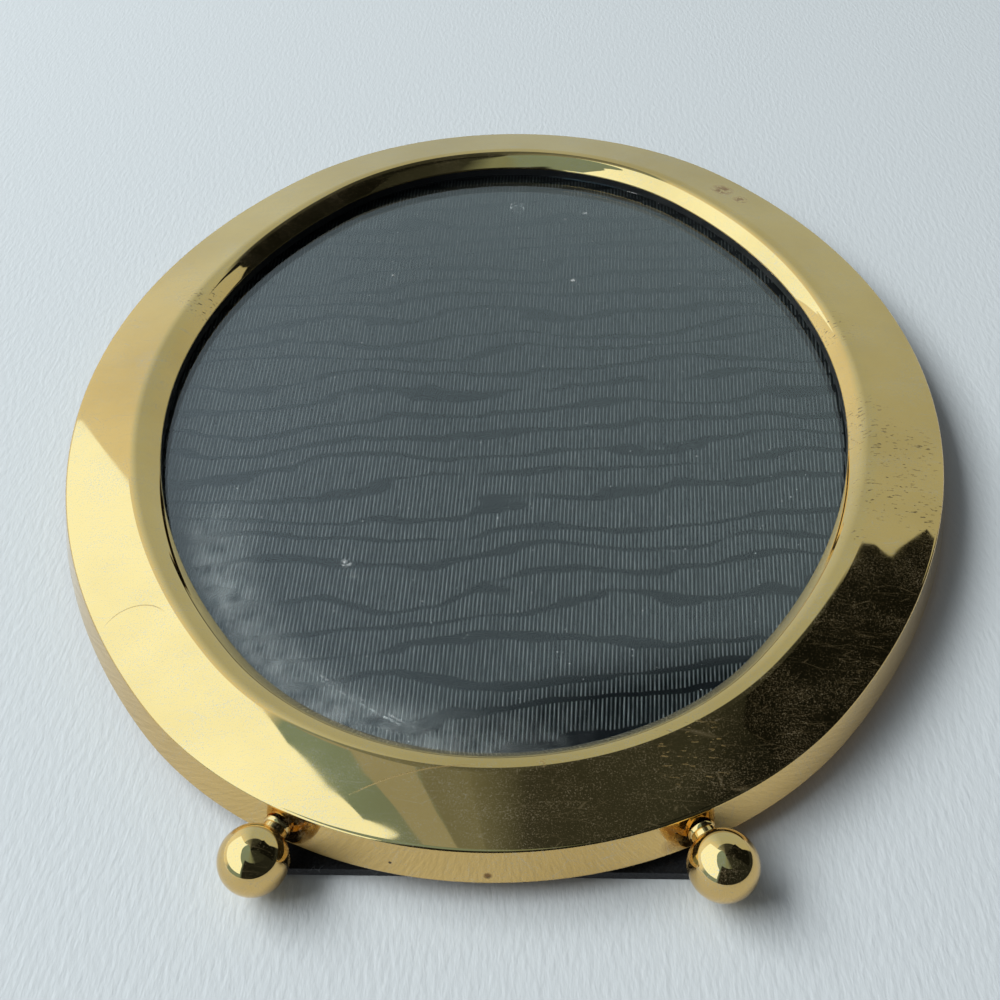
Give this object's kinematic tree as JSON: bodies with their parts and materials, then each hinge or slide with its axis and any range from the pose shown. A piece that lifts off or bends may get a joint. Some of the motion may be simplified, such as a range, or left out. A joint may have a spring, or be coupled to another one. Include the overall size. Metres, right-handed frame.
{
  "type": "picture frame",
  "caption": "Oval brass picture frame: sloping polished rim, glass, velvet easel back with a hinged strut, turn buttons, and ball feet on the rim's lower edge.",
  "frame": {"origin": "under the centre of the oval, on the outer face of the folded strut, which lies on the table", "axes": "+Z out of the face of the picture, +Y towards the top of the oval, +X to the viewer's right"},
  "size_m": [0.158, 0.2034, 0.0105],
  "materials": {
    "polished_brass": "polished",
    "clear_glass": "clear",
    "black_moire": "watered",
    "grey_board": "matt",
    "black_velvet": "pile",
    "plated_steel": "plated"
  },
  "bodies": {
    "frame": {"rim": "polished_brass", "glass": "clear_glass", "moire_lining": "black_moire", "back_board": "grey_board", "back_velvet": "black_velvet", "board_leaf": "plated_steel", "hinge_pin": "plated_steel", "board_rivet_left": "plated_steel", "board_rivet_right": "plated_steel", "foot_ball_left": "polished_brass", "foot_ball_right": "polished_brass", "foot_washer_left": "plated_steel", "foot_washer_right": "plated_steel", "foot_screw_left": "plated_steel", "foot_screw_right": "plated_steel", "turn_screw_upper_left": "polished_brass", "turn_screw_upper_right": "polished_brass", "turn_screw_lower_left": "polished_brass", "turn_screw_lower_right": "polished_brass"},
    "strut": {"strut": "black_velvet", "strut_leaf": "plated_steel", "strut_rivet_left": "plated_steel", "strut_rivet_right": "plated_steel"},
    "button_upper_left": {"turn_button_upper_left": "polished_brass"},
    "button_upper_right": {"turn_button_upper_right": "polished_brass"},
    "button_lower_left": {"turn_button_lower_left": "polished_brass"},
    "button_lower_right": {"turn_button_lower_right": "polished_brass"}
  },
  "joints": [
    {"name": "strut_hinge", "type": "hinge", "parent": "frame", "child": "strut", "pos_m": [0, 0.02, 0.0009], "axis": [1, 0, 0], "range_deg": [0, 35]},
    {"name": "button_upper_left_swivel", "type": "hinge", "parent": "frame", "child": "button_upper_left", "pos_m": [-0.0461, 0.06972, 0.0013], "axis": [0, 0, 1], "range_deg": [-90, 90]},
    {"name": "button_upper_right_swivel", "type": "hinge", "parent": "frame", "child": "button_upper_right", "pos_m": [0.0461, 0.06972, 0.0013], "axis": [0, 0, 1], "range_deg": [-90, 90]},
    {"name": "button_lower_left_swivel", "type": "hinge", "parent": "frame", "child": "button_lower_left", "pos_m": [-0.0461, -0.06972, 0.0013], "axis": [0, 0, 1], "range_deg": [-90, 90]},
    {"name": "button_lower_right_swivel", "type": "hinge", "parent": "frame", "child": "button_lower_right", "pos_m": [0.0461, -0.06972, 0.0013], "axis": [0, 0, 1], "range_deg": [-90, 90]}
  ]
}
